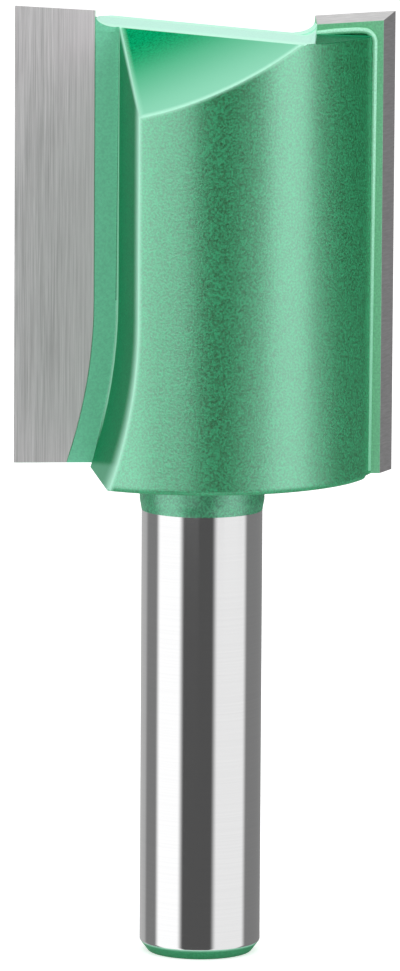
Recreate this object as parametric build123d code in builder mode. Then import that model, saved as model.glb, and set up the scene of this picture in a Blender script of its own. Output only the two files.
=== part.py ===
# Two-flute straight router bit, right-hand cut, with a round shank. Millimetres.
# It stands on its shank end at the origin with its axis along +Z and its cutting end up.
# One blade reaches out along +X and the other along -X.

import os
from math import cos, radians, sin, sqrt

from build123d import *

# Shank and neck
shank_diameter = 8.0
shank_length = 29.65  # ground shank, end chamfer included
shank_chamfer_height = 0.74
shank_chamfer_depth = 0.57
neck_diameter = 8.25
neck_length = 2.55  # between the ground shank and the head
neck_taper_height = 0.7

# Head, turned in one piece with the shank
body_diameter = 22.8
head_length = 29.6
head_bottom_round = 0.4
head_top_round = 0.45

# Blades, brazed carbide plates with their cutting edges outside and at the end
cutting_diameter = 25.0
cutting_length = 30.3
blade_width = 5.3
blade_thickness = 1.8
blade_rise = 0.3  # lower end of the blades above the underside of the head
rake_offset = 1.8  # how far the rake face lies behind the plane through the axis
side_relief_angle = 27.6
end_relief_angle = 12.8
dish_angle = 3.3  # the outer corners stand highest

# Chip gullet in front of each blade, milled by a side-and-face wheel that stops short of
# the underside, so that its radius runs out through the head
land_width = 1.58  # strip of steel between a blade and the wall of its gullet
gullet_draft = 2.7
wheel_radius = 35.0
run_out_height = 11.1  # wheel centre at the end of its travel, above the underside

# End face of the web: a shallow recess between the blocks that back the blades, and a
# sloping facet on each side that clears the chips
recess_depth = 0.42
recess_width = 14.8
recess_turn = 5.8
recess_round = 0.9
facet_angle = 30.7
facet_azimuth = 223.0

# Underside behind each blade, relieved to the lower end of the blade
wing_relief_depth = 2.8

# Heights, and reaches measured along a rake face
shank_radius = shank_diameter / 2
neck_radius = neck_diameter / 2
body_radius = body_diameter / 2
head_bottom = shank_length + neck_length
head_top = head_bottom + head_length
web_top = head_top - recess_depth
blade_bottom = head_bottom + blade_rise
tip_height = blade_bottom + cutting_length
wheel_height = head_bottom + run_out_height
edge_reach = sqrt((cutting_diameter / 2) ** 2 - rake_offset**2)
blade_inner = edge_reach - blade_width
gullet_wall = blade_inner - land_width
outside = 2 * cutting_diameter  # cuts reach this far, clear of the bit
below_head = head_bottom - neck_length / 2  # lower end of cuts that run out of the head

blade_turns = {"carbide_blade_right": 0, "carbide_blade_left": 180}


def rake_plane(turn):
    # Local x reaches outward, y is up and z goes into the steel behind the blade
    angle = radians(turn)
    return Plane(
        origin=(0, 0, 0), x_dir=(cos(angle), sin(angle), 0), z_dir=(sin(angle), -cos(angle), 0)
    ).offset(rake_offset)


def wheel_outline(reach, outer, bottom, top):
    # Inner side upright at reach, then round the wheel's centre down to bottom
    radius = gullet_wall + wheel_radius - reach
    run_out = reach + radius - sqrt(radius**2 - (wheel_height - bottom) ** 2)
    with BuildSketch() as outline:
        with BuildLine():
            Line((reach, top), (reach, wheel_height))
            TangentArc((reach, wheel_height), (run_out, bottom), tangent=(0, -1))
            Polyline((run_out, bottom), (outer, bottom), (outer, top), (reach, top))
        make_face()
    return outline.sketch


# Cutter for one end facet: it starts at the inner corner of a gullet and slopes down over
# the web, and stays in front of that gullet's rake face
facet_x = cos(radians(facet_azimuth))
facet_y = sin(radians(facet_azimuth))
facet_start = rake_offset * facet_y - gullet_wall * facet_x
tilt = radians(facet_angle)
facet_plane = Plane(
    origin=(facet_start * facet_x, facet_start * facet_y, web_top),
    z_dir=(sin(tilt) * facet_x, sin(tilt) * facet_y, cos(tilt)),
)
with BuildPart() as facet_cutter:
    with BuildSketch(facet_plane):
        Rectangle(2 * outside, 2 * outside)
    extrude(amount=outside)
    split(bisect_by=Plane.XZ.offset(-rake_offset), keep=Keep.TOP)

# Body: shank, neck and head turned as one piece, then milled
with BuildPart() as body:
    with BuildSketch(Plane.XZ):
        with BuildLine():
            Polyline(
                (0, 0),
                (shank_radius - shank_chamfer_depth, 0),
                (shank_radius, shank_chamfer_height),
                (shank_radius, shank_length),
                (neck_radius, shank_length + neck_taper_height),
                (neck_radius, head_bottom),
                (body_radius, head_bottom),
                (body_radius, head_top),
                (0, head_top),
                (0, 0),
            )
        make_face()
        rim = vertices().group_by(Axis.X)[-1].sort_by(Axis.Y)
        fillet(rim[0], radius=head_bottom_round)
        fillet(rim[-1], radius=head_top_round)
    revolve(axis=Axis.Z)

    with BuildSketch(Plane.XZ.rotated((0, 0, -recess_turn)).offset(-outside)):
        with Locations((0, web_top)):
            Rectangle(recess_width, outside, align=(Align.CENTER, Align.MIN))
        fillet(vertices().group_by(Axis.Y)[0], radius=recess_round)
    extrude(amount=2 * outside, mode=Mode.SUBTRACT)

    for turn in blade_turns.values():
        plane = rake_plane(turn)
        # Gullet, open to the front
        with BuildSketch(plane):
            add(wheel_outline(gullet_wall, outside, below_head, tip_height))
        extrude(amount=-cutting_diameter, taper=-gullet_draft, mode=Mode.SUBTRACT)

        # Seat of the blade
        with BuildSketch(plane):
            add(wheel_outline(blade_inner, outside, below_head, tip_height))
        extrude(amount=blade_thickness, mode=Mode.SUBTRACT)

        # Underside relief
        with BuildSketch(plane):
            with Locations((gullet_wall, blade_bottom)):
                Rectangle(outside, neck_length, align=(Align.MIN, Align.MAX))
        extrude(amount=wing_relief_depth, mode=Mode.SUBTRACT)

        with Locations(Rotation(0, 0, turn)):
            add(facet_cutter.part, mode=Mode.SUBTRACT)

body.part.label = "body"

# Blades, ground with clearance behind the side edge and the end edge
blades = []
for name, turn in blade_turns.items():
    plane = rake_plane(turn)
    tip = plane.from_local_coords((edge_reach, tip_height, 0))
    side = Plane(origin=tip, x_dir=plane.z_dir, z_dir=plane.x_dir)
    end = Plane(origin=tip, x_dir=plane.x_dir, z_dir=(0, 0, 1))
    with BuildPart() as blade:
        with BuildSketch(plane):
            add(wheel_outline(blade_inner, edge_reach, blade_bottom, tip_height))
        extrude(amount=blade_thickness)
        with BuildSketch(side * Rotation(0, side_relief_angle, 0)):
            Rectangle(2 * outside, 2 * outside)
        extrude(amount=outside, mode=Mode.SUBTRACT)
        with BuildSketch(end * Rotation(end_relief_angle, -dish_angle, 0)):
            Rectangle(2 * outside, 2 * outside)
        extrude(amount=outside, mode=Mode.SUBTRACT)
    blade.part.label = name
    blades.append(blade.part)

os.makedirs("parts", exist_ok=True)
for piece in [body.part, *blades]:
    export_step(piece, f"parts/{piece.label}.step")
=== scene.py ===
import math
import bmesh
import bpy
from mathutils import Matrix, Vector, kdtree


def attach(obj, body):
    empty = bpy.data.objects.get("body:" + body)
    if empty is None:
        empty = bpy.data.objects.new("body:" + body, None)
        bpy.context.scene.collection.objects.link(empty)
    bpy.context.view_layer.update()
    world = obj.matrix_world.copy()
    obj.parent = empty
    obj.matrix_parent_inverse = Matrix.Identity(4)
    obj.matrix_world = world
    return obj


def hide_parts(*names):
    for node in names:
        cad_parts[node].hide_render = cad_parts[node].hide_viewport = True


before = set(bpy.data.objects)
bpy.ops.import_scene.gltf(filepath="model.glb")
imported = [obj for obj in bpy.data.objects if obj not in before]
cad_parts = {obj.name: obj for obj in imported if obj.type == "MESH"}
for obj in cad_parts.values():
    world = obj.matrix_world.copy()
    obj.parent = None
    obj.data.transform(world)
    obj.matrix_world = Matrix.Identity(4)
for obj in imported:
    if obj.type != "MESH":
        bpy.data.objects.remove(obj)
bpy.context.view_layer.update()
mm = 0.001

cameraSet = {
    "turn": -94.0,  # degrees about Z, from +X
    "elevation": 8.62,
    "distance": 560 * mm,
    "targetHeight": 31.325 * mm,
    "focalPixels": 8486.0,
    "frameHeight": 971.0,
    "offCentre": (2.19, -1.95),  # pixels, right and down
    "roll": 0.34,
    "sensor": 36.0,
    "nearest": 10 * mm,
    "farthest": 20.0,
}


def addCamera():
    turn = math.radians(cameraSet["turn"])
    tilt = math.radians(cameraSet["elevation"])
    target = Vector((0, 0, cameraSet["targetHeight"]))
    away = Vector((math.cos(turn) * math.cos(tilt), math.sin(turn) * math.cos(tilt), math.sin(tilt)))
    data = bpy.data.cameras.new("camera")
    camera = bpy.data.objects.new("camera", data)
    bpy.context.scene.collection.objects.link(camera)
    look = (-away).to_track_quat("-Z", "Y").to_matrix().to_4x4()
    place = Matrix.Translation(target + away * cameraSet["distance"])
    camera.matrix_world = place @ look @ Matrix.Rotation(math.radians(cameraSet["roll"]), 4, "Z")
    data.sensor_width = cameraSet["sensor"]
    data.sensor_fit = "AUTO"
    data.lens = cameraSet["focalPixels"] / cameraSet["frameHeight"] * cameraSet["sensor"]
    data.shift_x = -cameraSet["offCentre"][0] / cameraSet["frameHeight"]
    data.shift_y = cameraSet["offCentre"][1] / cameraSet["frameHeight"]
    data.clip_start = cameraSet["nearest"]
    data.clip_end = cameraSet["farthest"]
    bpy.context.scene.camera = camera


softboxes = {  # side lamps stand upright, the overhead one faces down
    "left": {"turn": -63.5, "distance": 0.5, "centre": 0.1, "width": 0.456, "height": 1.1, "radiance": 1.2},
    "right": {"turn": 59.5, "distance": 0.5, "centre": 0.1, "width": 0.637, "height": 1.1, "radiance": 0.95},
    "overhead": {"turn": 0.0, "distance": 0.0, "centre": 0.9, "width": 0.8, "height": 0.8, "radiance": 1.2},
}


def addSoftbox(name, values):
    turn = math.radians(cameraSet["turn"] + values["turn"])
    outward = Vector((math.cos(turn), math.sin(turn), 0))
    light = bpy.data.lights.new(name + "Softbox", "AREA")
    light.shape = "RECTANGLE"
    light.size = values["width"]
    light.size_y = values["height"]
    light.energy = values["radiance"] * math.pi * values["width"] * values["height"]
    lamp = bpy.data.objects.new(name + "Softbox", light)
    bpy.context.scene.collection.objects.link(lamp)
    lamp.matrix_world = Matrix.Translation(outward * values["distance"] + Vector((0, 0, values["centre"])))
    if values["distance"] > 0:
        lamp.matrix_world = lamp.matrix_world @ (-outward).to_track_quat("-Z", "Y").to_matrix().to_4x4()
    lamp.visible_camera = False
    lamp.visible_glossy = False  # gloss sees the cards of the ring instead


class Value:  # one shader socket that takes part in arithmetic
    def __init__(self, shader, socket):
        self.shader = shader
        self.socket = socket

    def __add__(self, other):
        return self.shader.math("ADD", self, other)

    def __sub__(self, other):
        return self.shader.math("SUBTRACT", self, other)

    def __rsub__(self, other):
        return self.shader.math("SUBTRACT", other, self)

    def __mul__(self, other):
        return self.shader.math("MULTIPLY", self, other)

    def __gt__(self, other):
        return self.shader.math("GREATER_THAN", self, other)

    __radd__ = __add__
    __rmul__ = __mul__


class Shader:  # builds one node tree
    def __init__(self, tree):
        self.tree = tree
        self.tree.nodes.clear()

    def plug(self, socket, value):
        if isinstance(value, Value):
            self.tree.links.new(value.socket, socket)
        else:
            socket.default_value = value

    def node(self, kind, settings=None, inputs=None, outputs=(0,)):  # one value for each output named
        made = self.tree.nodes.new(kind)
        for name, value in (settings or {}).items():
            setattr(made, name, value)
        for name, value in (inputs or {}).items():
            self.plug(made.inputs[name], value)
        values = [Value(self, made.outputs[name]) for name in outputs]
        return values[0] if len(values) == 1 else values

    def math(self, operation, first, second=0.0):
        return self.node("ShaderNodeMath", {"operation": operation}, {0: first, 1: second})

    def smooth(self, value, low, high):
        settings = {"interpolation_type": "SMOOTHSTEP", "clamp": True}
        return self.node("ShaderNodeMapRange", settings, {0: value, 1: low, 2: high, 3: 0.0, 4: 1.0})

    def ramp(self, value, low, high):
        return self.node("ShaderNodeMapRange", {"clamp": True}, {0: value, 1: low, 2: high, 3: 0.0, 4: 1.0})

    def mixColour(self, factor, first, second):
        inputs = {0: factor, 6: first, 7: second}
        return self.node("ShaderNodeMix", {"data_type": "RGBA"}, inputs, (2,))

    def place(self):  # object coordinates: the vector, then x, y and z
        vector = self.node("ShaderNodeTexCoord", outputs=("Object",))
        return [vector] + self.node("ShaderNodeSeparateXYZ", None, {0: vector}, (0, 1, 2))

    def stretched(self, vector, scale):
        return self.node("ShaderNodeVectorMath", {"operation": "MULTIPLY"}, {0: vector, 1: scale})

    def noise(self, vector, scale, detail, roughness):
        inputs = {"Vector": vector, "Scale": scale, "Detail": detail, "Roughness": roughness}
        return self.node("ShaderNodeTexNoise", None, inputs)

    def bump(self, height, strength, distance):
        inputs = {"Height": height, "Strength": strength, "Distance": distance}
        return self.node("ShaderNodeBump", None, inputs)

    def rays(self):  # 1 where the camera, gloss or glass looks
        names = ("Is Camera Ray", "Is Glossy Ray", "Is Transmission Ray")
        camera, glossy, through = self.node("ShaderNodeLightPath", outputs=names)
        return self.math("MINIMUM", camera + glossy + through, 1.0)

    def principled(self, inputs):
        return self.node("ShaderNodeBsdfPrincipled", None, inputs)

    def glow(self, strength):
        return self.node("ShaderNodeEmission", None, {"Color": (1, 1, 1, 1), "Strength": strength})

    def mixShader(self, factor, first, second):
        return self.node("ShaderNodeMixShader", None, {0: factor, 1: first, 2: second})

    def finish(self, surface, kind="ShaderNodeOutputMaterial"):
        self.node(kind, None, {"Surface": surface}, ())


def newMaterial(name):
    material = bpy.data.materials.new(name)
    material.use_nodes = True
    return material, Shader(material.node_tree)


def screenColour(*levels):  # screen levels 0-255 to a linear colour
    shares = [level / 255 for level in levels]
    return [share / 12.92 if share <= 0.04045 else ((share + 0.055) / 1.055) ** 2.4 for share in shares] + [1]


studioWorld = {"colour": (1, 1, 1, 1), "roomLight": 0.5}  # light on the object, beside a white view


def addWorld():
    world = bpy.data.worlds.new("studio")
    bpy.context.scene.world = world
    world.use_nodes = True
    sh = Shader(world.node_tree)
    strength = studioWorld["roomLight"] + sh.rays() * (1.0 - studioWorld["roomLight"])
    background = sh.node("ShaderNodeBackground", None, {"Color": studioWorld["colour"], "Strength": strength})
    sh.finish(background, "ShaderNodeOutputWorld")


studioRing = {  # grey cards that stand round the object, seen in gloss only
    "radius": 0.62,
    "bottom": -0.75,
    "top": 1.1,
    "sides": 180,
    "lower": (  # turn from the camera, level from there on
        (-180, 0.60), (-128, 0.30), (-91, 1.6), (-38.6, 0.125), (25.5, 1.27), (92, 0.30),
    ),
    "upper": ((-180, 0.40), (-120, 0.10), (-95, 1.75), (-6, 0.01), (43, 2.0), (74, 0.01), (165, 0.40)),
    "lowerBlend": 13.0,
    "upperBlend": 4.0,
    "step": -0.055,  # height where the lower cards end
    "stepBlend": 0.006,
    "rearTurns": (140.0, 160.0),  # the rear card comes in between these
    "rearHeight": 0.03,  # the rear card is low, and white stands above it
}


def cardLevels(sh, angle, part):
    half = studioRing[part + "Blend"] / 2
    cards = studioRing[part]
    level = cards[0][1]
    for (_, before), (start, grey) in zip(cards, cards[1:]):
        level = level + sh.smooth(angle, start - half, start + half) * (grey - before)
    return level


def addRing():
    bottom, top = studioRing["bottom"], studioRing["top"]
    bpy.ops.mesh.primitive_cylinder_add(
        vertices=studioRing["sides"], radius=studioRing["radius"], end_fill_type="NOTHING",
        depth=top - bottom, location=(0, 0, (top + bottom) / 2),
    )
    ring = bpy.context.object
    ring.name = "greyCards"
    bpy.ops.object.transform_apply(location=True, rotation=True, scale=True)
    material, sh = newMaterial("greyCards")
    _, x, y, z = sh.place()
    turn = math.radians(cameraSet["turn"] - 180)
    forward = x * math.cos(turn) + y * math.sin(turn)  # seen from the camera, ahead and to the right
    right = x * math.sin(turn) - y * math.cos(turn)
    angle = sh.math("ARCTAN2", right, 0.0 - forward) * (180 / math.pi)
    step, blend = studioRing["step"], studioRing["stepBlend"]
    low = cardLevels(sh, angle, "lower")
    high = cardLevels(sh, angle, "upper")
    level = low + sh.smooth(z, step - blend, step + blend) * (high - low)
    rear = sh.smooth(sh.math("ABSOLUTE", angle), *studioRing["rearTurns"])
    rear = rear * sh.smooth(z, 0.0, studioRing["rearHeight"])
    sh.finish(sh.glow(level + rear * (1.0 - level)))
    ring.data.materials.append(material)
    material.cycles.emission_sampling = "NONE"
    ring.visible_camera = False
    ring.visible_diffuse = False
    ring.visible_shadow = False
    ring.visible_transmission = False


floorSet = {"size": 3.0, "colour": (0.9, 0.9, 0.9, 1), "lift": 0.55}


def addFloor():
    bpy.ops.mesh.primitive_plane_add(size=floorSet["size"])
    floor = bpy.context.object
    floor.name = "floor"
    material, sh = newMaterial("floor")
    diffuse = sh.node("ShaderNodeBsdfDiffuse", None, {"Color": floorSet["colour"]})
    lift = sh.glow(sh.rays() * floorSet["lift"])
    sh.finish(sh.node("ShaderNodeAddShader", None, {0: diffuse, 1: lift}))
    floor.data.materials.append(material)
    floor.visible_glossy = False


bpy.context.scene.view_settings.view_transform = "Standard"
addCamera()
for name, values in softboxes.items():
    addSoftbox(name, values)
addWorld()
addRing()
addFloor()
print("studio ready")

facetSlope = (-0.373, -0.348, 0.860)  # the way the front facet of the head faces
webSide = (0.731, 0.682)  # the way a long side of the web faces

highlightLineSet = {  # painted highlights: where a pale line is painted beside the edges of the head
    "fadePower": 1.65,
    "barrel": 11.38 * mm,
    "barrelSkin": 11.2 * mm,  # the barrel's own gullet line shows from this radius on
    "gulletEdge": -4.92 * mm,
    "gulletFlare": 1.7 * mm,
    "flareTop": 43.3 * mm,
    "flareFoot": 32.6 * mm,
    "facetLevel": 54.21 * mm,
    "wallPlace": (-5.49 * mm, 1.8 * mm),
    "wallNormal": (0.999, 0.047),
    "softer": 0.8,
}
highlightLineWidths = {  # how far each painted highlight line fades, on one surface beside the next
    "barrelGullet": 0.28 * mm,
    "barrelFacet": 0.30 * mm,
    "wallBarrel": 2.8 * mm,
    "wallFacet": 0.6 * mm,
    "facetBarrel": 0.4 * mm,
    "facetWall": 0.42 * mm,
    "shankRing": 0.19 * mm,
}


def fadeOut(sh, distance, line):
    return sh.math("POWER", 1.0 - sh.ramp(distance, 0.0, highlightLineWidths[line]), highlightLineSet["fadePower"])


def toFront(x, y, across):  # the back is the front turned half round
    side = 1.0 - 2.0 * (across > 0.0)
    return x * side, y * side


def fromAxis(sh, x, y):
    return sh.math("SQRT", x * x + y * y)


def fromWebMiddle(x, y):
    return x * webSide[0] + y * webSide[1]


def belowFacet(x, y, z):
    across, along, up = facetSlope
    return highlightLineSet["facetLevel"] - (x * across + y * along + z * up)


# painted highlight lines on the barrel, beside the gullet edge and below the facet
def barrelHighlightLines(sh, x, y, z):
    x, y = toFront(x, y, y)
    flare = sh.ramp(z, highlightLineSet["flareTop"], highlightLineSet["flareFoot"])
    gullet = x - (highlightLineSet["gulletEdge"] - flare * flare * highlightLineSet["gulletFlare"])
    onSkin = fromAxis(sh, x, y) > highlightLineSet["barrelSkin"]
    gullet = fadeOut(sh, sh.math("ABSOLUTE", gullet), "barrelGullet") * onSkin
    return sh.math("MAXIMUM", gullet, fadeOut(sh, belowFacet(x, y, z), "barrelFacet"))


# painted highlight on the gullet wall: a pale band up to 2.8 mm wide beside the barrel, and a line below the
# facet
def wallHighlightLines(sh, x, y, z):
    x, y = toFront(x, y, x)
    gullet = fadeOut(sh, highlightLineSet["barrel"] - fromAxis(sh, x, y), "wallBarrel")
    return sh.math("MAXIMUM", gullet, fadeOut(sh, belowFacet(x, y, z), "wallFacet") * highlightLineSet["softer"])


# painted highlight lines on the facet, beside the barrel and the gullet wall
def facetHighlightLines(sh, x, y, z):
    x, y = toFront(x, y, fromWebMiddle(x, y))
    barrel = fadeOut(sh, highlightLineSet["barrel"] - fromAxis(sh, x, y), "facetBarrel")
    (placeX, placeY), (normalX, normalY) = highlightLineSet["wallPlace"], highlightLineSet["wallNormal"]
    wall = (x - placeX) * normalX + (y - placeY) * normalY
    return sh.math("MAXIMUM", barrel, fadeOut(sh, wall, "facetWall") * highlightLineSet["softer"])


# painted highlight line on the edge where the painted end of the shank meets the bare steel
def footHighlightLine(sh, x, y, z):
    return fadeOut(sh, sh.math("ABSOLUTE", z - shankSteel["bareFrom"]), "shankRing")


paintedLightBands = {  # painted light and highlights, paler stretches of colour: where each starts and is full, its strength and colour
    "facetMiddle": {"span": (0.8 * mm, 6.4 * mm), "strength": 1.0, "tone": (0.055, 0.45, 0.22, 1)},
    "facetLow": {"span": (2.6 * mm, 12.2 * mm), "strength": 1.0, "tone": (0.29, 0.725, 0.505, 1)},
    "barrelFoot": {"span": (32.7 * mm, 32.3 * mm), "strength": 0.3, "tone": (0.12, 0.52, 0.29, 1)},
    "wallFoot": {"span": (32.95 * mm, 32.5 * mm), "strength": 0.8, "tone": (0.13, 0.40, 0.25, 1)},
    "webRim": {"span": (1.4 * mm, 2.0 * mm), "strength": 1.0, "tone": (0.56, 1.0, 0.80, 1)},
    "wingCorner": {"span": (4.7 * mm, 4.1 * mm), "strength": 1.0, "tone": (0.02, 0.40, 0.18, 1)},
}
shadeSet = {
    "flakeSpan": (4.0 * mm, 11.0 * mm),  # more flakes down the facet
    "moreFlakes": 0.03,
    "fewerFlakes": 0.85,  # hardly any on the rounded foot of the head
    "wallTilt": 0.133,  # the painted light on the foot of a gullet wall is tilted
    # the bead's painted highlight fades to this deeper green down the blade
    "beadSpan": (56 * mm, 34 * mm),
    "beadFoot": (0.22, 0.63, 0.385, 1),
}


def inBand(sh, band, distance):
    start, full = paintedLightBands[band]["span"]
    return sh.smooth(distance, start, full) if start < full else 1.0 - sh.smooth(distance, full, start)


# mixes in the painted light of one band
def paler(sh, enamel, band, distance):
    share = inBand(sh, band, distance) * paintedLightBands[band]["strength"]
    return sh.mixColour(share, enamel, paintedLightBands[band]["tone"])


def facetShade(sh, enamel, share, x, y, z):  # painted light and shade: deep at the leading corner, paler down the slope
    fade = sh.math("ABSOLUTE", y)
    enamel = paler(sh, paler(sh, enamel, "facetMiddle", fade), "facetLow", fade)
    return enamel, share + sh.ramp(fade, *shadeSet["flakeSpan"]) * shadeSet["moreFlakes"]


def barrelShade(sh, enamel, share, x, y, z):  # the rounded foot of the head catches light
    share = (1.0 - inBand(sh, "barrelFoot", z) * shadeSet["fewerFlakes"]) * share
    return paler(sh, enamel, "barrelFoot", z), share


def wallShade(sh, enamel, share, x, y, z):  # painted light: the foot of a gullet wall is paler
    _, depth = toFront(x, y, x)
    return paler(sh, enamel, "wallFoot", z + depth * shadeSet["wallTilt"]), share


def webShade(sh, enamel, share, x, y, z):  # painted highlight: brighter beside the long edges
    return paler(sh, enamel, "webRim", sh.math("ABSOLUTE", fromWebMiddle(x, y))), share


def wingShade(sh, enamel, share, x, y, z):  # painted light over the bead's shadow: paler beside the bead
    return paler(sh, enamel, "wingCorner", sh.math("ABSOLUTE", y)), share


def beadShade(sh, enamel, share, x, y, z):  # the bead's painted highlight, deeper down the blade
    return sh.mixColour(sh.ramp(z, *shadeSet["beadSpan"]), enamel, shadeSet["beadFoot"]), share


flakePaint = {  # green enamel with fine pale flakes
    "flake": (0.55, 0.98, 0.80, 1),
    "flakeRoughness": 0.30,
    "flakeLevels": (1.04, 0.08),  # the share of flakes, and how much less of it the light grains have
    "grain": (7500.0, 2.0, 0.6),  # scale, detail and roughness of the noise
    "grainDepth": 0.008 * mm,
    "grainLevels": (0.36, 0.64),
    "cloud": (900.0, 2.0, 0.5),
    "cloudShare": 0.2,
    "swing": 0.8,  # how far the enamel goes to dark and light, for a grain of 1
    "swingLimit": 0.9,
    "enamelRoughness": 0.5,
    "shine": 0.1,
    # colour of the painted highlight on rounded edges and highlight lines
    "paintedEdgeHighlight": screenColour(182, 248, 219),
    "edgeRoughness": 0.45,
}
paintTones = {  # lit and shaded copies of the one green enamel, one per zone of the head, so their tones are painted light and shade: enamel, share of flakes, strength of the grain
    "barrelPaint": {
        "dark": (0.0, 0.07, 0.002, 1), "light": (0.014, 0.415, 0.158, 1),
        "share": 0.30, "grain": 1.0, "lines": barrelHighlightLines, "shade": barrelShade,
    },
    "neckPaint": {"enamel": (0.04, 0.30, 0.14, 1), "share": 0.20, "grain": 0.8},
    "landPaint": {"enamel": (0.225, 0.75, 0.49, 1), "share": 0.08, "grain": 0.11},
    # the deep wall tone is painted shade in the gullet
    "wallPaint": {
        "enamel": (0.004, 0.18, 0.066, 1),
        "share": 0.004, "grain": 0.5, "shine": 0.05, "lines": wallHighlightLines, "shade": wallShade,
    },
    "wingPaint": {
        "enamel": (0.002, 0.165, 0.062, 1),
        "share": 0.0, "grain": 0.8, "shine": 0.03, "shade": wingShade,
    },
    "facetPaint": {
        "enamel": (0.002, 0.345, 0.13, 1),
        "share": 0.0, "grain": 0.5, "shine": 0.0, "lines": facetHighlightLines, "shade": facetShade,
    },
    # the pale mint top is painted light on the upward faces
    "webPaint": {"enamel": (0.52, 0.92, 0.76, 1), "share": 0.10, "grain": 0.06, "shade": webShade},
    "backPaint": {"enamel": (0.18, 0.545, 0.30, 1), "share": 0.08, "grain": 0.2},
    # the pale bead is a painted highlight
    "beadPaint": {"enamel": (0.43, 0.93, 0.64, 1), "share": 0.03, "grain": 0.2, "shade": beadShade},
}


def enamelTones(tone):  # the darkest and the lightest of the grain
    if "dark" in tone:
        return tone["dark"], tone["light"]
    swing = min(flakePaint["swing"] * tone["grain"], flakePaint["swingLimit"])
    dark = [level * (1 - swing) for level in tone["enamel"][:3]] + [1]
    light = [min(level * (1 + swing), 1.0) for level in tone["enamel"][:3]] + [1]
    return dark, light


def edgeHighlightShare(sh):  # the painted highlight share of the rounded edges; roundEdges writes it on each vertex
    return sh.node("ShaderNodeAttribute", {"attribute_name": "paintedEdgeHighlight"}, None, ("Fac",))


def paintLayer(sh, tone, vector, x, y, z):
    grain = sh.noise(vector, *flakePaint["grain"])
    cloud = sh.noise(vector, *flakePaint["cloud"])
    bump = sh.bump(grain, 1.0, flakePaint["grainDepth"] * tone["grain"])
    sparkle = sh.ramp(grain, *flakePaint["grainLevels"])
    mixed = sparkle * (1 - flakePaint["cloudShare"]) + cloud * flakePaint["cloudShare"]
    enamel = sh.mixColour(mixed, *enamelTones(tone))
    most, less = flakePaint["flakeLevels"]
    share = (most - less * sparkle) * tone["share"]
    if "shade" in tone:
        enamel, share = tone["shade"](sh, enamel, share, x, y, z)
    green = sh.principled({
        "Base Color": enamel, "Roughness": flakePaint["enamelRoughness"], "Normal": bump,
        "Specular IOR Level": tone.get("shine", flakePaint["shine"]),
    })
    flakes = sh.principled({
        "Base Color": flakePaint["flake"], "Roughness": flakePaint["flakeRoughness"],
        "Metallic": 1.0, "Normal": bump,
    })
    # painted highlight on the rounded edges and along the highlight lines
    pale = edgeHighlightShare(sh)
    if "lines" in tone:
        pale = sh.math("MAXIMUM", pale, tone["lines"](sh, x, y, z))
    edge = sh.principled({
        "Base Color": flakePaint["paintedEdgeHighlight"], "Roughness": flakePaint["edgeRoughness"], "Normal": bump,
    })
    return sh.mixShader(pale, sh.mixShader(share, green, flakes), edge)


def paintMaterial(name):
    material, sh = newMaterial(name)
    sh.finish(paintLayer(sh, paintTones[name], *sh.place()))
    return material


shankSteel = {  # bare steel between the painted end and the painted neck
    "dark": (0.59, 0.59, 0.595, 1),
    "light": (0.65, 0.65, 0.65, 1),
    "roughness": 0.06,
    "turning": (60.0, 60.0, 9000.0),  # fine rings, left by the lathe
    "turningNoise": (1.0, 3.0, 0.6),
    "turningStrength": 0.25,
    "turningDepth": 0.002 * mm,
    "bareFrom": 0.72 * mm,
    "bareTo": 29.66 * mm,
    "bareBlend": 0.03 * mm,
    # the painted end carries a painted highlight line along its edge
    "endPaint": {"enamel": (0.05, 0.33, 0.15, 1), "share": 0.0, "grain": 0.2, "lines": footHighlightLine},
}


def above(sh, z, level):
    return sh.smooth(z, level - shankSteel["bareBlend"], level + shankSteel["bareBlend"])


def shankMaterial():
    material, sh = newMaterial("shankSteel")
    vector, x, y, z = sh.place()
    rings = sh.noise(sh.stretched(vector, shankSteel["turning"]), *shankSteel["turningNoise"])
    steel = sh.principled({
        "Base Color": sh.mixColour(rings, shankSteel["dark"], shankSteel["light"]),
        "Roughness": shankSteel["roughness"], "Metallic": 1.0,
        "Normal": sh.bump(rings, shankSteel["turningStrength"], shankSteel["turningDepth"]),
    })
    paint = paintLayer(sh, shankSteel["endPaint"], vector, x, y, z)
    bare = above(sh, z, shankSteel["bareFrom"]) * (1 - above(sh, z, shankSteel["bareTo"]))
    sh.finish(sh.mixShader(bare, paint, steel))
    return material


carbideSet = {
    "roughness": 0.5,
    "metallic": 0.15,
    "grindNoise": (1.0, 4.0, 0.65),
    "grindLevels": (0.25, 0.75),
    "grindStrength": 0.6,
    "grindDepth": 0.004 * mm,
    "cloud": (300.0, 2.0, 0.5),
    "cloudShare": 0.15,
    # colour of the painted highlight on the rounded carbide edges
    "edge": {"Base Color": (0.66, 0.62, 0.62, 1), "Roughness": 0.4, "Metallic": 0.3},
    # painted light on the inner side of the rake face
    "innerSpan": (6.8 * mm, 10.5 * mm),
    "innerShare": 0.42,
    "innerTone": (0.95, 0.84, 0.90, 1),
}
carbideFaces = {  # tones, and the direction and fineness of the grinding lines; the faces are one carbide, and their different tones are painted light and shade
    "rakeCarbide": {
        "low": (0.36, 0.345, 0.355, 1), "high": (0.80, 0.765, 0.785, 1), "lines": (13000.0, 13000.0, 180.0),
    },
    "sideCarbide": {
        "low": (0.17, 0.168, 0.17, 1), "high": (0.28, 0.275, 0.28, 1), "lines": (900.0, 900.0, 9000.0),
    },
    "endCarbide": {
        "low": (0.44, 0.44, 0.44, 1), "high": (0.70, 0.69, 0.69, 1), "lines": (900.0, 6000.0, 6000.0),
    },
}


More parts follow.
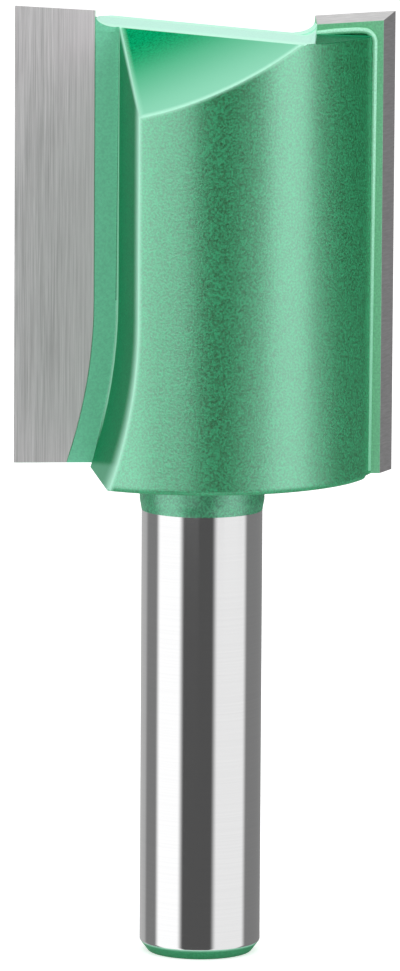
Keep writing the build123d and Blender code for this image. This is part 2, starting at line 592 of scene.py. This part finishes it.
def carbideMaterial(name):
    values = carbideFaces[name]
    material, sh = newMaterial(name)
    vector, x, _, _ = sh.place()
    lines = sh.noise(sh.stretched(vector, values["lines"]), *carbideSet["grindNoise"])
    cloud = sh.noise(vector, *carbideSet["cloud"])
    ground = sh.ramp(lines, *carbideSet["grindLevels"]) * (1 - carbideSet["cloudShare"])
    tone = sh.mixColour(ground + cloud * carbideSet["cloudShare"], values["low"], values["high"])
    if name == "rakeCarbide":  # painted light: the inner side of the face is lighter
        inner = 1.0 - sh.ramp(sh.math("ABSOLUTE", x), *carbideSet["innerSpan"])
        tone = sh.mixColour(inner * carbideSet["innerShare"], tone, carbideSet["innerTone"])
    carbide = sh.principled({
        "Base Color": tone, "Roughness": carbideSet["roughness"], "Metallic": carbideSet["metallic"],
        "Normal": sh.bump(lines, carbideSet["grindStrength"], carbideSet["grindDepth"]),
    })
    # painted highlight on the rounded edges of the carbide
    sh.finish(sh.mixShader(edgeHighlightShare(sh), carbide, sh.principled(carbideSet["edge"])))
    return material


paints = {name: paintMaterial(name) for name in paintTones}
carbides = {name: carbideMaterial(name) for name in carbideFaces}
print("paint, steel and carbide mixed")


def pick(piece):
    bpy.ops.object.select_all(action="DESELECT")
    piece.select_set(True)
    bpy.context.view_layer.objects.active = piece


def editAll():
    bpy.ops.object.mode_set(mode="EDIT")
    bpy.ops.mesh.select_all(action="SELECT")


copySet = {"weld": 0.002 * mm, "flatWithin": math.radians(0.3)}


def mergedCopy(node, name):  # a copy of one of the frame's own pieces, with its triangles joined up
    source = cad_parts[node]
    piece = source.copy()
    piece.data = source.data.copy()
    piece.name = name
    piece.parent = None
    for key in list(piece.keys()):
        del piece[key]
    bpy.context.scene.collection.objects.link(piece)
    piece.data.materials.clear()
    pick(piece)
    editAll()
    bpy.ops.mesh.customdata_custom_splitnormals_clear()
    bpy.ops.mesh.remove_doubles(threshold=copySet["weld"])
    bpy.ops.mesh.dissolve_limited(angle_limit=copySet["flatWithin"])
    bpy.ops.mesh.normals_make_consistent(inside=False)
    bpy.ops.object.mode_set(mode="OBJECT")
    return piece


roundSet = {
    "sharpFrom": math.radians(20),
    "sampleStep": 0.15 * mm,
    "segments": 6,
    "ringShares": (0.0, 0.5, 0.9, 1.0),  # painted highlight share of each ring of vertices, from the flat face on
}


def weighEdges(piece, edgeRule):  # edgeRule gives the width share and the painted highlight share of one edge
    mesh = bmesh.new()
    mesh.from_mesh(piece.data)
    weights = mesh.edges.layers.float.new("bevel_weight_edge")
    samples = []
    for edge in mesh.edges:
        if len(edge.link_faces) != 2 or edge.calc_face_angle(0) < roundSet["sharpFrom"]:
            continue
        first, last = [vert.co for vert in edge.verts]
        share, paleness = edgeRule((first + last) / 2 / mm, (last - first).normalized(), edge.is_convex)
        edge[weights] = share
        if share > 0:
            steps = max(2, int((last - first).length / roundSet["sampleStep"]))
            samples += [(first.lerp(last, step / steps), paleness) for step in range(steps + 1)]
    mesh.to_mesh(piece.data)
    mesh.free()
    return samples


def roundEdges(piece, width, edgeRule):
    samples = weighEdges(piece, edgeRule)
    roundSlot = len(piece.data.materials) - 1
    bevel = piece.modifiers.new("edges", "BEVEL")
    bevel.width = width
    bevel.segments = roundSet["segments"]
    bevel.limit_method = "WEIGHT"
    bevel.use_clamp_overlap = False
    bevel.material = roundSlot
    bpy.ops.object.modifier_apply(modifier=bevel.name)
    paleRounds(piece, roundSlot, samples)


# writes the painted highlight share on the vertices of each rounded edge
def paleRounds(piece, roundSlot, samples):
    tree = kdtree.KDTree(len(samples))
    for index, (place, _) in enumerate(samples):
        tree.insert(place, index)
    tree.balance()
    onFlat = set()
    onRound = set()
    for face in piece.data.polygons:
        (onRound if face.material_index == roundSlot else onFlat).update(face.vertices)
    depth = {index: 0 for index in onFlat}  # rings of vertices across a rounded edge
    for ring in (1, 2):
        for edge in piece.data.edges:
            first, last = edge.vertices
            for near, far in ((first, last), (last, first)):
                if depth.get(near) == ring - 1 and far not in depth:
                    depth[far] = ring
    pale = piece.data.attributes.new("paintedEdgeHighlight", "FLOAT", "POINT")
    for index in onRound - onFlat:
        paleness = samples[tree.find(piece.data.vertices[index].co)[1]][1]
        pale.data[index].value = paleness * roundSet["ringShares"][depth.get(index, 3)]


smoothSet = {"angle": math.radians(38), "flatWeight": 90}


def dressFaces(piece, faceRule):  # faceRule names the material of one face
    slots = {material.name: index for index, material in enumerate(piece.data.materials)}
    for face in piece.data.polygons:
        face.material_index = slots[faceRule(face.center / mm, face.normal)]
    bpy.ops.object.shade_smooth_by_angle(angle=smoothSet["angle"])
    flatten = piece.modifiers.new("normals", "WEIGHTED_NORMAL")
    flatten.keep_sharp = True
    flatten.weight = smoothSet["flatWeight"]
    bpy.ops.object.modifier_apply(modifier=flatten.name)
    print(piece.name, len(piece.data.polygons), "faces")


cutterSet = {  # millimetres, on the front half: the back is the same, turned half round
    "edgeWidth": 0.26,
    "slack": 0.01,
    "shankEnd": 1.5,
    "shankChamfer": 0.4,
    "neckRadius": 4.6,  # more than the shank and the neck have
    "neckFrom": 29.7,
    "neckTo": 32.1,
    "neckEdgesTo": 32.5,
    "footTop": 32.65,
    "footRadius": 10.6,
    "lowestRounded": 34.0,  # the foot of the head is rounded in the frame already
    "barrelSkin": 11.2,
    "wallRadius": 11.1,  # the walls of the gullets lie within it
    "plainRadius": 11.0,  # upright edges past it stay as they are
    "rakePlane": 1.8,
    "rakeSlack": 0.1,
    "bladeBack": 3.6,
    "bladeInner": 7.07,
    "seatSlack": 0.06,
    "topLevel": 61.8,
    "topSlack": 0.05,
    "headTop": 61.38,
    "rimAbove": 61.385,
    "flatTop": 61.3,
    "ridgeTop": 61.5,
    "ridgeInner": 5.9,
    "ridgeOuter": 6.6,
    "crest": (6.336, -9.477),  # where the ridge behind a blade meets the rim
    "acrossCrest": (0.995, -0.100),
    "crestHalf": 0.09,
    "cutInner": 6.4,
    "cutThreshold": 0.001,
    "wingFrom": 0.11,  # past the crest
    "wingPaintFrom": 0.15,
    "wingInner": 6.0,
    "wingBottom": 61.2,
    "wingTop": 61.34,
    "wingLimit": 61.52,
    "wingEnd": -3.5,
    "besideBead": 0.17,
}
facing = {  # how far the normal of a face, or the run of an edge, has to point one way
    "facet": 0.985,
    "wing": 0.12,
    "web": 0.3,
    "rake": 0.97,
    "foot": -0.05,
    "barrel": 0.9,
    "cylinder": 0.97,
    "level": 0.8,
    "upright": 0.5,
    "side": 0.9,
    "end": 0.6,
    "outward": 0.5,
}
edgeShares = {  # width share and painted highlight share of the rounded edges
    "plain": (0.0, 0.0),
    "shankEnd": (0.2, 0.0),
    "shankChamfer": (0.35, 0.9),
    "neck": (0.2, 0.15),
    "hollow": (0.7, 0.6),
    "wingRim": (0.12, 0.0),
    "top": (0.3, 0.5),
    "long": (0.55, 0.9),
    "bladeInner": (1.0, 0.8),
    "bladeBack": (0.8, 1.0),
    "blade": (0.4, 0.1),
}


def turned(place):  # the point turned onto the front side
    return place if place.y < 0 else Vector((-place.x, -place.y, place.z))


def onRake(place):
    return abs(abs(place.y) - cutterSet["rakePlane"]) < cutterSet["rakeSlack"]


def pastCrest(front):
    (crestX, crestY), (acrossX, acrossY) = cutterSet["crest"], cutterSet["acrossCrest"]
    return (front.x - crestX) * acrossX + (front.y - crestY) * acrossY


def cutterEdgeRule(place, along, convex):
    height = place.z
    radius = math.hypot(place.x, place.y)
    front = turned(place)
    if height < cutterSet["shankEnd"]:
        return edgeShares["shankChamfer" if height > cutterSet["shankChamfer"] else "shankEnd"]
    if radius < cutterSet["neckRadius"] and height < cutterSet["neckEdgesTo"]:
        return edgeShares["neck" if convex else "plain"]
    slack = cutterSet["seatSlack"]
    seat = front.x > cutterSet["bladeInner"] - slack and front.y > -cutterSet["bladeBack"] - slack
    ridge = front.x > cutterSet["ridgeInner"] and height > cutterSet["wingBottom"]
    ridge = ridge and (radius < cutterSet["barrelSkin"] or height > cutterSet["ridgeTop"]
                       or front.x < cutterSet["ridgeOuter"])
    upright = abs(along.z) > facing["upright"] and radius > cutterSet["plainRadius"]
    if seat or ridge or upright or height < cutterSet["lowestRounded"]:
        return edgeShares["plain"]
    if not convex:
        return edgeShares["hollow"]
    if height > cutterSet["flatTop"]:
        return edgeShares["wingRim" if front.x > cutterSet["wingInner"] else "top"]
    return edgeShares["long"]


facetSlopes = [Vector((facetSlope[0] * side, facetSlope[1] * side, facetSlope[2])) for side in (1, -1)]


def cutterFaceRule(place, normal):
    height = place.z
    radius = math.hypot(place.x, place.y)
    front = turned(place)
    if height < cutterSet["neckTo"] and radius < cutterSet["neckRadius"]:
        return "shankSteel" if height < cutterSet["neckFrom"] else "neckPaint"
    if any(normal.dot(slope) > facing["facet"] for slope in facetSlopes):
        return "facetPaint"
    onWing = cutterSet["wingBottom"] < height < cutterSet["wingLimit"] and front.y < cutterSet["wingEnd"]
    if onWing and pastCrest(front) > cutterSet["wingPaintFrom"]:
        return "wingPaint" if normal.z > facing["wing"] else "barrelPaint"
    if height > cutterSet["flatTop"] and normal.z > facing["web"]:
        return "webPaint"
    if abs(normal.y) > facing["rake"] and onRake(place):
        return "landPaint"
    if height < cutterSet["footTop"] and radius > cutterSet["footRadius"] and normal.z < facing["foot"]:
        return "barrelPaint"  # on the rounded foot of the head
    radial = (normal.x * place.x + normal.y * place.y) / radius
    inward = radial < facing["barrel"] or radius < cutterSet["wallRadius"]
    if inward and abs(normal.z) < facing["level"]:
        return "wallPaint"
    return "barrelPaint"


def roundBarrel(piece):  # the barrel shades as a true cylinder
    normals = [corner.vector.copy() for corner in piece.data.corner_normals]
    for face in piece.data.polygons:
        outward = Vector((face.center.x, face.center.y, 0))
        inside = outward.length < cutterSet["barrelSkin"] * mm
        if inside or face.normal.dot(outward.normalized()) < facing["cylinder"]:
            continue
        for corner in face.loop_indices:
            place = piece.data.vertices[piece.data.loops[corner].vertex_index].co
            normals[corner] = Vector((place.x, place.y, 0)).normalized()
    piece.data.normals_split_custom_set(normals)


def cutTop(piece, half, place, across):
    lowest = (cutterSet["topLevel"] - cutterSet["topSlack"]) * mm
    for face in piece.data.polygons:
        onTop = face.normal.z > facing["side"] and face.center.z > lowest
        face.select = onTop and face.center.x * half > cutterSet["cutInner"] * mm
    bpy.ops.object.mode_set(mode="EDIT")
    bpy.ops.mesh.bisect(plane_co=place, plane_no=across, threshold=cutterSet["cutThreshold"] * mm)
    bpy.ops.object.mode_set(mode="OBJECT")


def pickTop(piece, chosen):
    bpy.ops.object.mode_set(mode="EDIT")
    bpy.ops.mesh.select_all(action="DESELECT")
    bpy.ops.mesh.select_mode(type="VERT")
    mesh = bmesh.from_edit_mesh(piece.data)
    for vert in mesh.verts:
        vert.select = chosen(vert.co)
    bmesh.update_edit_mesh(piece.data)


def raiseTop(piece, chosen, rise):
    pickTop(piece, chosen)
    bpy.ops.transform.translate(value=(0, 0, rise))
    bpy.ops.object.mode_set(mode="OBJECT")


def lowerWing(piece, half):
    top = cutterSet["topLevel"]
    across = Vector((*cutterSet["acrossCrest"], 0)) * half
    crest = Vector((cutterSet["crest"][0] * half, cutterSet["crest"][1] * half, top)) * mm
    seat = Vector((cutterSet["bladeInner"] * half, -cutterSet["bladeBack"] * half, top)) * mm
    cutTop(piece, half, crest + across * cutterSet["crestHalf"] * mm, across)
    cutTop(piece, half, seat, across)

    def onWing(place):
        past = (place - crest).dot(across) > cutterSet["wingFrom"] * mm
        return past and place.z > (top - cutterSet["topSlack"]) * mm

    raiseTop(piece, onWing, cutterSet["wingTop"] * mm - top * mm)


def besideBlade(place):
    onWing = abs(place.z - cutterSet["wingTop"] * mm) < cutterSet["slack"] * mm
    return onWing and abs(place.y) < (cutterSet["bladeBack"] + cutterSet["slack"]) * mm


def onRim(place):
    outside = math.hypot(place.x, place.y) > cutterSet["barrelSkin"] * mm
    return outside and place.z > cutterSet["rimAbove"] * mm


def shapeTop(piece):  # behind each blade the top drops to the level of the web, past a narrow ridge
    for half in (1, -1):
        lowerWing(piece, half)
    raiseTop(piece, besideBlade, cutterSet["besideBead"] * mm)
    pickTop(piece, onRim)
    level = (0, 0, cutterSet["headTop"] * mm)
    bpy.ops.transform.resize(value=(1, 1, 0), center_override=level)  # the cove runs out to the rim
    bpy.ops.object.mode_set(mode="OBJECT")


def buildCutter():
    body = mergedCopy("body", "cutterBody")
    shapeTop(body)
    for name in ("barrelPaint", "neckPaint", "landPaint", "wallPaint", "wingPaint", "facetPaint", "webPaint"):
        body.data.materials.append(paints[name])
    body.data.materials.append(shankMaterial())
    body.data.materials.append(paints["barrelPaint"])  # last slot: the rounded edges
    roundEdges(body, cutterSet["edgeWidth"] * mm, cutterEdgeRule)
    dressFaces(body, cutterFaceRule)
    roundBarrel(body)
    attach(body, "root")
    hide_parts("body")


bladeSet = {  # millimetres
    "edgeWidth": 0.07,
    "innerBand": 1.6,
    "backBand": 0.3,
    "frontDepth": 2.7,  # faces further from the middle than this belong to the back
    "endFrom": 61.0,
}


def bladeEdgeRule(place, along, convex):
    inner = abs(place.x) < cutterSet["bladeInner"] + bladeSet["innerBand"]
    if inner and onRake(place) and abs(along.z) > facing["upright"]:
        return edgeShares["bladeInner"]
    if abs(abs(place.y) - cutterSet["bladeBack"]) < bladeSet["backBand"] and place.z > bladeSet["endFrom"]:
        return edgeShares["bladeBack"]
    return edgeShares["blade"]


def bladeFaceRule(place, normal):
    outward = normal.x if place.x > 0 else -normal.x
    if abs(normal.y) > facing["side"]:
        return "backPaint" if abs(place.y) > bladeSet["frontDepth"] else "rakeCarbide"
    if normal.z > facing["end"]:
        return "endCarbide"
    return "sideCarbide" if outward > facing["outward"] else "backPaint"


def buildBlade(side):
    node = "carbide_blade_" + side
    blade = mergedCopy(node, "blade_" + side)
    for name in carbideFaces:
        blade.data.materials.append(carbides[name])
    blade.data.materials.append(paints["backPaint"])
    blade.data.materials.append(carbides["rakeCarbide"])  # last slot: the rounded edges
    roundEdges(blade, bladeSet["edgeWidth"] * mm, bladeEdgeRule)
    dressFaces(blade, bladeFaceRule)
    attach(blade, "root")
    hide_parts(node)


brazeSet = {  # the braze beside the right blade, which is copied to the left one
    "bead": 0.20 * mm,  # half the width of the bead along the back of a blade
    "beadSides": 16,
    "beadDepth": 1.8,
    "beadRun": ((7.0, -3.78, 61.48), (8.3, -3.78, 61.62), (9.6, -3.78, 61.69), (10.06, -3.78, 61.67)),
    "beadCorner": 0.75 * mm,
    "beadSteps": 8,
    "beadFoot": Vector((10.62, -3.84, 32.75)) * mm,
    "coveLow": Vector((5.74, -3.60, 61.05)) * mm,
    "coveHigh": Vector((7.07, -1.78, 62.05)) * mm,
    "coveRise": 0.67 * mm,
    "coveSteps": 8,
    "coveHollow": 0.1,
    "coveLip": 0.02,
    "coveFront": 2.5,  # millimetres
}


def halfTurnCopy(piece, name):
    other = piece.copy()
    other.data = piece.data.copy()
    other.name = name
    bpy.context.scene.collection.objects.link(other)
    pick(other)
    editAll()
    bpy.ops.transform.rotate(value=math.pi, orient_axis="Z", center_override=(0, 0, 0))
    bpy.ops.object.mode_set(mode="OBJECT")
    return other


def finishBraze(piece, faceRule):
    editAll()
    bpy.ops.mesh.normals_make_consistent(inside=False)
    bpy.ops.object.mode_set(mode="OBJECT")
    for braze in (piece, halfTurnCopy(piece, piece.name.replace("right", "left"))):
        pick(braze)
        for name in ("webPaint", "landPaint", "beadPaint"):
            braze.data.materials.append(paints[name])
        dressFaces(braze, faceRule)
        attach(braze, "root")


def beadFaceRule(place, normal):
    return "beadPaint"


def buildBead():
    run = [Vector(place) * mm for place in brazeSet["beadRun"]]
    corner = brazeSet["beadCorner"]
    bpy.ops.object.select_all(action="DESELECT")
    bpy.ops.mesh.primitive_circle_add(
        vertices=brazeSet["beadSides"], radius=brazeSet["bead"], fill_type="NGON",
        location=run[0], rotation=(0, math.pi / 2, 0),
    )
    bead = bpy.context.object
    bead.name = "brazeBead_right"
    bpy.ops.object.transform_apply(location=True, rotation=True, scale=True)
    editAll()
    bpy.ops.transform.resize(value=(1, brazeSet["beadDepth"], 1), center_override=run[0])
    for before, after in zip(run, run[1:]):
        bpy.ops.mesh.extrude_region_move(TRANSFORM_OT_translate={"value": after - before})
    centre = run[-1] - Vector((0, 0, corner))
    bpy.ops.mesh.spin(steps=brazeSet["beadSteps"], angle=-math.pi / 2, center=centre, axis=(0, 1, 0))
    foot = brazeSet["beadFoot"] - (centre + Vector((corner, 0, 0)))
    bpy.ops.mesh.extrude_region_move(TRANSFORM_OT_translate={"value": foot})
    bpy.ops.object.mode_set(mode="OBJECT")
    finishBraze(bead, beadFaceRule)


def coveFaceRule(place, normal):  # its front goes on from the land below
    onFront = abs(normal.y) > facing["side"] and abs(place.y) < brazeSet["coveFront"]
    return "landPaint" if onFront else "webPaint"


def buildCove():
    low, high, rise = brazeSet["coveLow"], brazeSet["coveHigh"], brazeSet["coveRise"]
    slack = cutterSet["slack"] * mm
    bpy.ops.object.select_all(action="DESELECT")
    bpy.ops.mesh.primitive_cube_add(size=1, location=(low + high) / 2, scale=high - low)
    cove = bpy.context.object
    cove.name = "brazeCove_right"
    bpy.ops.object.transform_apply(location=True, rotation=True, scale=True)
    bpy.ops.object.mode_set(mode="EDIT")
    bpy.ops.mesh.select_all(action="DESELECT")
    bpy.ops.mesh.select_mode(type="EDGE")
    mesh = bmesh.from_edit_mesh(cove.data)
    for edge in mesh.edges:
        middle = (edge.verts[0].co + edge.verts[1].co) / 2
        edge.select = middle.x < low.x + slack and middle.z > high.z - slack
    bmesh.update_edit_mesh(cove.data)
    bpy.ops.mesh.bevel(offset=rise, segments=brazeSet["coveSteps"], profile=brazeSet["coveHollow"])
    bpy.ops.mesh.select_mode(type="VERT")
    mesh = bmesh.from_edit_mesh(cove.data)
    for vert in mesh.verts:  # the flat end of the cove runs on to its inner edge
        across = (vert.co.x - low.x) / rise
        vert.select = False
        if brazeSet["coveLip"] < across < 1 + brazeSet["coveLip"]:
            vert.co.x = low.x + (high.x - low.x - brazeSet["coveLip"] * mm) * across
    bmesh.update_edit_mesh(cove.data)
    bpy.ops.object.mode_set(mode="OBJECT")
    finishBraze(cove, coveFaceRule)


buildCutter()
for side in ("left", "right"):
    buildBlade(side)
buildBead()
buildCove()
